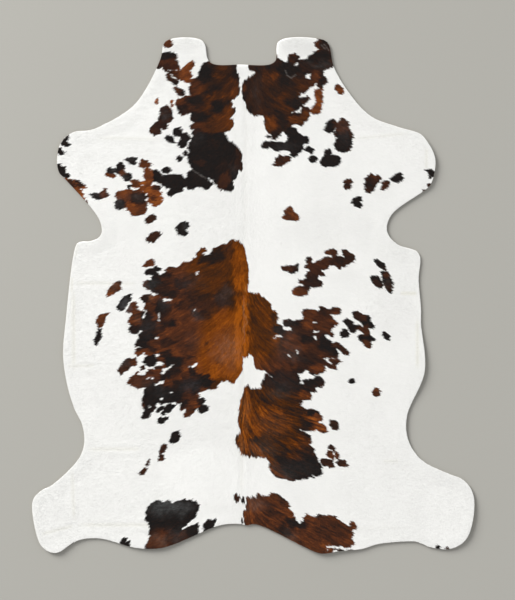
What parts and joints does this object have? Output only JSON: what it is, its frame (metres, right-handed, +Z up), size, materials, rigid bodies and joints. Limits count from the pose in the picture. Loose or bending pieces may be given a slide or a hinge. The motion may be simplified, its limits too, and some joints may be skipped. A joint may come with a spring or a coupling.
{
  "type": "cowhide rug",
  "caption": "Whole hair-on hide rug lying flat, with the neck, legs and rump left in its outline, a short spotted coat and a suede underside.",
  "frame": {"origin": "middle of the outline's box, on the floor under the rug", "axes": "+Y from the tail edge to the neck, +X to the right as seen from above with the neck at the top, +Z up from the floor"},
  "size_m": [1.8842, 2.2, 0.0154],
  "materials": {
    "hair_on_hide": "short glossy hair on a suede-backed skin"
  },
  "bodies": {
    "root": {"hide": "hair_on_hide"}
  },
  "joints": []
}
